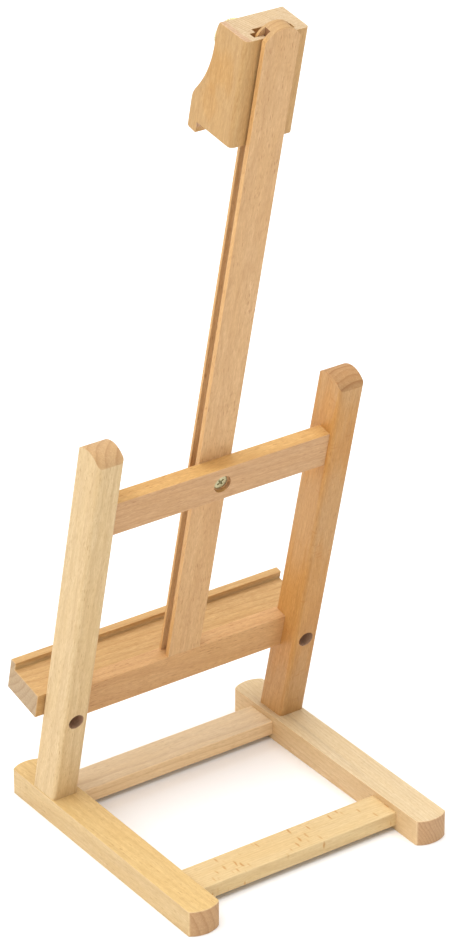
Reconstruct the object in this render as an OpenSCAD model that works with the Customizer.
// Tabletop H-frame artist's easel in beech, with a sliding canvas clamp.
// Origin: centre of the footprint on the table; +Z up, the canvas side faces -Y.
// Left and right are as seen from the canvas side, so left is -X.

/* [Base] */
// Width over both runners
base_w = 175.4; // [165:0.1:190]
// Length of each runner
runner_l = 184; // [170:0.5:200]
// Width of each runner
runner_w = 20.4; // [18:0.1:24]
// Height of each runner
runner_h = 16; // [14:0.1:18]
// Rise of the curved end of a runner
runner_rise = 3.4; // [2:0.1:5]
// Width of the flat stretchers
stretcher_w = 22; // [18:0.1:24]
// Thickness of the flat stretchers
stretcher_t = 9; // [7:0.1:10]
// Height of the stretchers above the table
stretcher_z = 3.4; // [2:0.1:5]
// Front stretcher, from the front end of the runners
front_stretcher_y = 20.2; // [18:0.1:26]
// Rear stretcher, from the front end of the runners
rear_stretcher_y = 139.6; // [110:0.1:145]

/* [Posts] */
// Lean of the posts from vertical, in degrees
lean = 13; // [8:0.5:16]
// Front of the posts, from the front end of the runners
post_y = 23.6; // [22:0.1:30]
// Step in from the runner's outer side to the post
post_inset = 0.4; // [0.2:0.1:1.5]
// Width of a post
post_w = 16.6; // [15:0.1:18]
// Depth of a post, front to back
post_d = 21.4; // [20:0.1:23]
// Length of a post to the corners of its curved top
post_l = 245; // [235:0.5:255]
// Rise of the curved top
post_rise = 5.1; // [3:0.1:6]
// Rounding of a post's long edges
post_round = 2.5; // [1:0.1:3]

/* [Rails] */
// Thickness of the two cross rails
rail_t = 9.5; // [9:0.1:10]
// Height of the two cross rails
rail_h = 22; // [20:0.1:24]
// Bottom of the upper rail, along the posts
upper_rail_s = 192.7; // [180:0.1:200]
// Top of the lower rail, along the posts
lower_rail_top = 74; // [73:0.1:78]

/* [Mast] */
// Width of the mast
mast_w = 21.6; // [21:0.1:23]
// Front face of the mast, behind the front of the posts
mast_front = 0.4; // [0.2:0.05:0.6]
// Top of the mast along the posts
mast_top = 490.9; // [470:0.1:510]
// Radius of the mast's arched top
mast_arch_r = 12.4; // [11.6:0.1:16]
// Thickness of the mast in front of its side grooves
flange_t = 1.6; // [1.4:0.1:1.8]
// Width of a side groove
groove_w = 4.4; // [4:0.1:4.8]
// Depth of a side groove
groove_depth = 4.4; // [4:0.1:5]

/* [Tray] */
// Length of the tray
tray_l = 183.4; // [170:0.1:190]
// Depth of the tray, front to back
tray_d = 29.2; // [24:0.1:34]
// Bottom of the tray, along the posts
tray_bottom = 52.9; // [52:0.1:56]
// Ledge the canvas stands on, along the posts
tray_ledge = 69; // [67:0.1:71]
// Height of the front lip above the ledge
lip_h = 4.8; // [3:0.1:6]
// Thickness of the front lip
lip_t = 4.7; // [3:0.1:6]

/* [Clamp] */
// Width of the clamp
clamp_w = 39; // [38:0.5:42]
// Top of the clamp at its back when it stands at the top of the mast
clamp_top = 484.8; // [450:0.1:485]
// Height of the clamp's back
clamp_h = 64.2; // [62:0.1:70]
// Slope of the clamp's top and underside, down towards the front, in degrees
clamp_fall = 4; // [2:0.5:6]
// How far the clamp's lip hangs below its underside
clamp_lip = 6.4; // [5:0.1:9]
// Thickness of the hanging lip
clamp_lip_t = 7.8; // [6:0.1:9]
// Front of the clamp at the lip, ahead of the posts
clamp_front = 32.9; // [32:0.1:35]
// Front of the clamp at its narrow top, ahead of the posts
clamp_neck = 20.1; // [19:0.1:21]
// Back of the clamp, behind the front of the posts
clamp_back = 5.1; // [4.8:0.1:5.3]
// Rounding of the clamp's back edge on the left
clamp_round_left = 2; // [1:0.1:5]
// Rounding of the clamp's back edge on the right
clamp_round_right = 3; // [1:0.1:5]
// Clearance between the clamp and the mast
clamp_gap = 0.1; // [0.05:0.01:0.15]
// Diameter of the knurled knob
knob_d = 18.4; // [15:0.1:20]
// Thickness of the knurled knob
knob_t = 6; // [5:0.5:7]

/* [Fasteners] */
// Diameter of the dowels
dowel_d = 5; // [4:0.5:6]
// Length of the dowels
dowel_l = 18; // [14:1:18]
// Diameter of the screw heads
screw_head_d = 8.9; // [8:0.1:9]
// Diameter of the screw shanks
screw_d = 4; // [3.5:0.1:4.2]
// Diameter of the counterbores in the backs of the posts
bore_d = 9.6; // [9.2:0.1:10]
// Diameter of the recess in the back of the upper rail
recess_d = 10.9; // [10:0.1:11.5]

/* [Hidden] */
$fn = 96;
over = 1;

// Where things stand across the easel
runner_x = base_w / 2 - runner_w / 2;
runner_in = base_w / 2 - runner_w;
post_x = base_w / 2 - post_inset - post_w / 2;
post_in = post_x - post_w / 2;
post_front_y = post_y - runner_l / 2;

// Levels along the posts and depths behind their front
lower_rail_s = lower_rail_top - rail_h;
mast_t = rail_t - mast_front;
mast_shoulder = mast_top - mast_arch_r + sqrt(pow(mast_arch_r, 2) - pow(mast_w / 2, 2));
groove_front = mast_front + flange_t;
groove_floor_x = mast_w / 2 - groove_depth;
screw_s = upper_rail_s + rail_h / 2;
tray_screw_s = 62.3;

// Screws: countersunk heads on plain shanks
head_t = 3;
screw_tip_l = 4;
cross_l = 5;
cross_w = 1.1;
cross_depth = 1.8;
recess_depth = 2;
bore_depth = 9;
post_screw_l = 38;
post_screw_sink = 0.4;
tray_screw_l = 26;
mast_screw_l = 14.5;
mast_screw_turn = 38;

// Clamp: its slot is stepped, a shallow recess for the pad ahead of the mast's slot
clamp_base = clamp_top - clamp_h;
clamp_round_front = 1.2;
clamp_round_lip = 2.4;
clamp_crown_r = 14;
clamp_crown_s = clamp_top - 8.4;
ogee_r1 = 60;
ogee_r2 = 20;
ogee_top = clamp_top - 14.8;
ogee_turn = acos(1 - (clamp_front - clamp_neck) / (ogee_r1 + ogee_r2));
ogee_end = ogee_top - (ogee_r1 + ogee_r2) * sin(ogee_turn);
ogee_mid_s = ogee_top - ogee_r1 * sin(ogee_turn);
ogee_mid_d = clamp_neck + ogee_r1 * (1 - cos(ogee_turn));
slot_half = mast_w / 2 + 1.7;
slot_front = -2;
pad_slot_half = 9;
pad_slot_front = -5.4;
tongue_half = groove_floor_x + 0.5;

// Thumbscrew: knob, stud, threaded insert and the pad it presses
thread_d = 6;
thread_gap = 0.05;
thumb_s = clamp_top - 22.1;
insert_d = 9;
insert_l = 9;
tip_d = 4;
tip_l = 1.8;
pad_w = 17.6;
pad_h = 20;
pad_back = mast_front - 0.05;
pad_front = -3;
knob_back = -28.2;
knob_collar_d = 10;
knob_collar_t = 3;
knob_flutes = 40;
knob_flute_depth = 0.6;

// Stands the children on the leaning frame: x across, y behind the posts' front, z along them
module on_lean() {
    translate([0, post_front_y, runner_h])
        rotate([-lean, 0, 0])
            children();
}

// Extrudes an outline drawn in depth and height across the easel, w wide
module across(w) {
    rotate([90, 0, 90])
        translate([0, 0, -w / 2])
            linear_extrude(height = w)
                children();
}

// Rectangle with the given corner rounding, centred in x and running back from y = 0
module round_rect(w, d, r) {
    translate([-w / 2 + r, 0])
        square([w - 2 * r, d]);
    translate([-w / 2, r])
        square([w, d - 2 * r]);
    for (x = [-w / 2 + r, w / 2 - r])
        for (y = [r, d - r])
            translate([x, y])
                circle(r = r);
}

// Round bar along +Y starting at the origin
module bar_y(d, l) {
    rotate([-90, 0, 0])
        cylinder(d = d, h = l);
}

// Round bar centred on the origin and lying along X
module bar_x(d, l) {
    rotate([0, 90, 0])
        cylinder(d = d, h = l, center = true);
}

// Countersunk head and shank of a screw, head up at the origin and down -Z
module screw_body(l) {
    translate([0, 0, -0.5])
        cylinder(d = screw_head_d, h = 0.5);
    translate([0, 0, -head_t])
        cylinder(d1 = screw_d, d2 = screw_head_d, h = head_t - 0.5);
    translate([0, 0, -l])
        cylinder(d = screw_d, h = l - head_t / 2);
}

// The hole such a screw needs, open above its head
module screw_space(l) {
    screw_body(l);
    cylinder(d = screw_head_d, h = over);
}

// The screw itself, with a pointed tip and a cross slot
module wood_screw(l) {
    difference() {
        union() {
            screw_body(l - screw_tip_l);
            translate([0, 0, -l])
                cylinder(d1 = 1, d2 = screw_d, h = screw_tip_l);
        }
        for (turn = [0, 90])
            rotate([0, 0, turn])
                translate([0, 0, over / 2 - cross_depth / 2])
                    cube([cross_l, cross_w, cross_depth + over], center = true);
    }
}

// One runner: straight sides with a shallow arc at each end
module runner_outline() {
    r = (pow(runner_w / 2, 2) + pow(runner_rise, 2)) / (2 * runner_rise);
    square([runner_w, runner_l - 2 * runner_rise], center = true);
    for (end = [-1, 1])
        intersection() {
            translate([0, end * (runner_l / 2 - r)])
                circle(r = r);
            translate([0, end * runner_l / 4])
                square([runner_w, runner_l / 2], center = true);
        }
}

module runner(side) {
    difference() {
        translate([side * runner_x, 0, 0])
            linear_extrude(height = runner_h)
                runner_outline();
        stretcher_dowel_set(front_stretcher_y);
        stretcher_dowel_set(rear_stretcher_y);
        at_post_screws()
            screw_space(post_screw_l);
    }
}

module left_runner() {
    color("burlywood")
        runner(-1);
}

module right_runner() {
    color("burlywood")
        runner(1);
}

// Stretchers lie flat between the runners
module stretcher(y) {
    difference() {
        translate([-runner_in, y - runner_l / 2, stretcher_z])
            cube([2 * runner_in, stretcher_w, stretcher_t]);
        stretcher_dowel_set(y);
    }
}

module front_stretcher() {
    color("burlywood")
        stretcher(front_stretcher_y);
}

module rear_stretcher() {
    color("wheat")
        stretcher(rear_stretcher_y);
}

// Two dowels at each end of a stretcher
module stretcher_dowel_set(y) {
    for (side = [-1, 1])
        for (share = [0.25, 0.75])
            translate([side * runner_in, y - runner_l / 2 + share * stretcher_w, stretcher_z + stretcher_t / 2])
                bar_x(dowel_d, dowel_l);
}

module front_stretcher_dowels() {
    color("tan")
        stretcher_dowel_set(front_stretcher_y);
}

module rear_stretcher_dowels() {
    color("tan")
        stretcher_dowel_set(rear_stretcher_y);
}

// Side view of a post: foot cut level on the runner, top a shallow arc
module post_profile() {
    r = (pow(post_d / 2, 2) + pow(post_rise, 2)) / (2 * post_rise);
    polygon([[0, 0], [post_d, post_d * tan(lean)], [post_d, post_l], [0, post_l]]);
    intersection() {
        translate([post_d / 2, post_l + post_rise - r])
            circle(r = r);
        translate([0, post_l - over])
            square([post_d, post_rise + 2 * over]);
    }
}

module post(side) {
    difference() {
        on_lean()
            translate([side * post_x, 0, 0])
                intersection() {
                    across(post_w)
                        post_profile();
                    linear_extrude(height = post_l + post_rise + over)
                        round_rect(post_w, post_d, post_round);
                }
        on_lean() {
            rail_dowel_set(upper_rail_s, mast_front + mast_t + rail_t / 2);
            rail_dowel_set(lower_rail_s, rail_t / 2);
            translate([side * post_x, post_d - bore_depth, tray_screw_s])
                bar_y(bore_d, bore_depth + over);
        }
        at_tray_screws()
            screw_space(tray_screw_l);
        at_post_screws()
            screw_space(post_screw_l);
    }
}

module left_post() {
    color("peru")
        post(-1);
}

module right_post() {
    color("navajowhite")
        post(1);
}

// Upright screws from under the runners, one into the foot of each post
module at_post_screws() {
    for (side = [-1, 1])
        translate([side * post_x, post_front_y + post_d / cos(lean) / 2, post_screw_sink])
            rotate([180, 0, 0])
                children();
}

module post_screws() {
    color("gold")
        at_post_screws()
            wood_screw(post_screw_l);
}

// Two dowels at each end of a cross rail, drawn on the leaning frame
module rail_dowel_set(s, depth) {
    for (side = [-1, 1])
        for (share = [0.22, 0.78])
            translate([side * post_in, depth, s + share * rail_h])
                bar_x(dowel_d, dowel_l - 2);
}

module rail_bar(s, depth) {
    translate([-post_in, depth, s])
        cube([2 * post_in, rail_t, rail_h]);
}

module upper_rail() {
    front = mast_front + mast_t;
    color("sandybrown")
        on_lean()
            difference() {
                rail_bar(upper_rail_s, front);
                rail_dowel_set(upper_rail_s, front + rail_t / 2);
                translate([0, front + rail_t - recess_depth, screw_s])
                    bar_y(recess_d, recess_depth + over);
                at_mast_screw()
                    screw_space(mast_screw_l);
            }
}

module upper_rail_dowels() {
    color("tan")
        on_lean()
            rail_dowel_set(upper_rail_s, mast_front + mast_t + rail_t / 2);
}

module lower_rail() {
    color("sandybrown")
        on_lean()
            difference() {
                rail_bar(lower_rail_s, 0);
                rail_dowel_set(lower_rail_s, rail_t / 2);
                foot_dowel();
            }
}

module lower_rail_dowels() {
    color("tan")
        on_lean()
            rail_dowel_set(lower_rail_s, rail_t / 2);
}

// Where the screw that holds the mast stands, head in the recess of the upper rail
module at_mast_screw() {
    translate([0, mast_front + mast_t + rail_t - recess_depth, screw_s])
        rotate([-90, 0, 0])
            rotate([0, 0, mast_screw_turn])
                children();
}

module mast_screw() {
    color("gold")
        on_lean()
            at_mast_screw()
                wood_screw(mast_screw_l);
}

module foot_dowel() {
    translate([0, mast_front + mast_t / 2, lower_rail_top - dowel_l / 2])
        cylinder(d = dowel_d, h = dowel_l);
}

module mast_foot_dowel() {
    color("tan")
        on_lean()
            foot_dowel();
}

// Mast: arched top in front view, a groove down each side for the clamp's tongues
module mast_outline() {
    translate([-mast_w / 2, lower_rail_top])
        square([mast_w, mast_shoulder - lower_rail_top]);
    intersection() {
        translate([0, mast_top - mast_arch_r])
            circle(r = mast_arch_r);
        translate([-mast_w / 2, mast_shoulder - over])
            square([mast_w, mast_arch_r + over]);
    }
}

module mast() {
    color("burlywood")
        on_lean()
            difference() {
                translate([0, mast_front + mast_t, 0])
                    rotate([90, 0, 0])
                        linear_extrude(height = mast_t)
                            mast_outline();
                for (side = [-1, 1])
                    translate([side * (groove_floor_x + mast_w / 2), groove_front + groove_w / 2, mast_top / 2 + 50])
                        cube([mast_w, groove_w, mast_top], center = true);
                at_mast_screw()
                    screw_space(mast_screw_l);
                foot_dowel();
            }
}

// Tray: one milled section with a lip along its front, screwed to the posts
module tray() {
    color("sandybrown")
        difference() {
            on_lean()
                across(tray_l)
                    polygon([
                        [-tray_d, tray_bottom],
                        [0, tray_bottom],
                        [0, tray_ledge],
                        [-tray_d + lip_t, tray_ledge],
                        [-tray_d + lip_t, tray_ledge + lip_h],
                        [-tray_d, tray_ledge + lip_h]
                    ]);
            at_tray_screws()
                screw_space(tray_screw_l);
        }
}

// Screws deep in the backs of the posts, through them into the tray
module at_tray_screws() {
    on_lean()
        for (side = [-1, 1])
            translate([side * post_x, post_d - bore_depth, tray_screw_s])
                rotate([-90, 0, 0])
                    children();
}

module tray_screws() {
    color("gold")
        at_tray_screws()
            wood_screw(tray_screw_l);
}

// How much lower the clamp's top and underside are at a depth ahead of its back
function clamp_drop(ahead) = (clamp_back + ahead) * tan(clamp_fall);

// Side view of the clamp: crowned top, ogee front and a lip hanging over the canvas edge
module clamp_profile() {
    throat = clamp_front - clamp_lip_t;
    notch_s = clamp_base - clamp_drop(throat);
    lip_end = notch_s - clamp_lip;
    difference() {
        polygon([
            [clamp_back, clamp_base],
            [clamp_back, clamp_top],
            [-clamp_neck, clamp_top - clamp_drop(clamp_neck)],
            [-clamp_neck, ogee_top],
            [-ogee_mid_d, ogee_mid_s],
            [-clamp_front, ogee_end],
            [-clamp_front, lip_end + clamp_round_lip],
            [-clamp_front + clamp_round_lip, lip_end],
            [-throat, lip_end],
            [-throat, notch_s]
        ]);
        translate([-clamp_neck - ogee_r1, ogee_top])
            circle(r = ogee_r1, $fn = 180);
        difference() {
            translate([-clamp_neck - over, clamp_crown_s])
                square([clamp_crown_r + over, clamp_crown_r + over]);
            translate([-clamp_neck + clamp_crown_r, clamp_crown_s])
                circle(r = clamp_crown_r);
        }
    }
    intersection() {
        translate([-clamp_front + ogee_r2, ogee_end])
            circle(r = ogee_r2);
        translate([-clamp_front, ogee_end])
            square([ogee_r2 / 2, ogee_mid_s - ogee_end]);
    }
    translate([-clamp_front + clamp_round_lip, lip_end + clamp_round_lip])
        circle(r = clamp_round_lip);
}

// What rounding a corner takes away, the corner at the origin and the piece towards +X +Y
module corner_cut(r) {
    difference() {
        translate([-over, -over])
            square(r + over);
        translate([r, r])
            circle(r = r);
    }
}

// Top view of the clamp, each upright edge with its own rounding
module clamp_plan() {
    depth = clamp_front + clamp_back;
    translate([-clamp_w / 2, -clamp_front])
        difference() {
            square([clamp_w, depth]);
            corner_cut(clamp_round_front);
            translate([clamp_w, 0])
                rotate(90)
                    corner_cut(clamp_round_front);
            translate([clamp_w, depth])
                rotate(180)
                    corner_cut(clamp_round_right);
            translate([0, depth])
                rotate(-90)
                    corner_cut(clamp_round_left);
        }
}

// Slot the clamp rides the mast with, seen from above
module clamp_slot() {
    translate([-pad_slot_half, pad_slot_front])
        square([2 * pad_slot_half, slot_front - pad_slot_front + over]);
    translate([-slot_half, slot_front])
        square([2 * slot_half, groove_front + clamp_gap - slot_front]);
    translate([-tongue_half, slot_front])
        square([2 * tongue_half, clamp_back - slot_front + over]);
}

module top_clamp() {
    color("burlywood")
        on_lean()
            difference() {
                intersection() {
                    across(clamp_w)
                        clamp_profile();
                    translate([0, 0, clamp_base - 2 * clamp_lip])
                        linear_extrude(height = clamp_h + 3 * clamp_lip)
                            clamp_plan();
                }
                translate([0, 0, clamp_base - over])
                    linear_extrude(height = clamp_h + 2 * over)
                        clamp_slot();
                translate([0, pad_slot_front - insert_l, thumb_s])
                    bar_y(insert_d, insert_l + over);
                translate([0, -clamp_neck - over, thumb_s])
                    bar_y(thread_d + 1, clamp_neck);
            }
}

// Brass insert pressed into the clamp from the slot side
module clamp_insert() {
    color("goldenrod")
        on_lean()
            translate([0, pad_slot_front - insert_l, thumb_s])
                difference() {
                    bar_y(insert_d, insert_l);
                    translate([0, -over, 0])
                        bar_y(thread_d + 2 * thread_gap, insert_l + 2 * over);
                }
}

// Pad kept square by the recess; the stud's tip turns in it
module pressure_pad() {
    color("burlywood")
        on_lean()
            difference() {
                translate([-pad_w / 2, pad_front, thumb_s - pad_h / 2])
                    cube([pad_w, pad_back - pad_front, pad_h]);
                translate([0, pad_front - over, thumb_s])
                    bar_y(tip_d + 2 * thread_gap, tip_l + 0.1 + over);
            }
}

module stud_shape() {
    translate([0, knob_back - knob_t - 0.4, thumb_s])
        bar_y(thread_d, pad_front - knob_back + knob_t + 0.3);
    translate([0, pad_front - 0.2, thumb_s])
        bar_y(tip_d, tip_l + 0.2);
}

module knob_stud() {
    color("goldenrod")
        on_lean()
            stud_shape();
}

// Knurled knob: straight flutes round the rim, a plain collar towards the clamp
module thumb_knob() {
    points = knob_flutes * 2;
    color("gold")
        on_lean()
            difference() {
                union() {
                    translate([0, knob_back, thumb_s])
                        rotate([90, 0, 0])
                            linear_extrude(height = knob_t)
                                polygon([
                                    for (i = [0 : points - 1])
                                        (knob_d / 2 - (i % 2) * knob_flute_depth)
                                            * [cos(360 * i / points), sin(360 * i / points)]
                                ]);
                    translate([0, knob_back - over, thumb_s])
                        bar_y(knob_collar_d, knob_collar_t + over);
                }
                stud_shape();
            }
}

left_runner();
right_runner();
front_stretcher();
rear_stretcher();
front_stretcher_dowels();
rear_stretcher_dowels();
left_post();
right_post();
post_screws();
upper_rail();
upper_rail_dowels();
lower_rail();
lower_rail_dowels();
mast();
mast_foot_dowel();
mast_screw();
tray();
tray_screws();
top_clamp();
clamp_insert();
pressure_pad();
knob_stud();
thumb_knob();
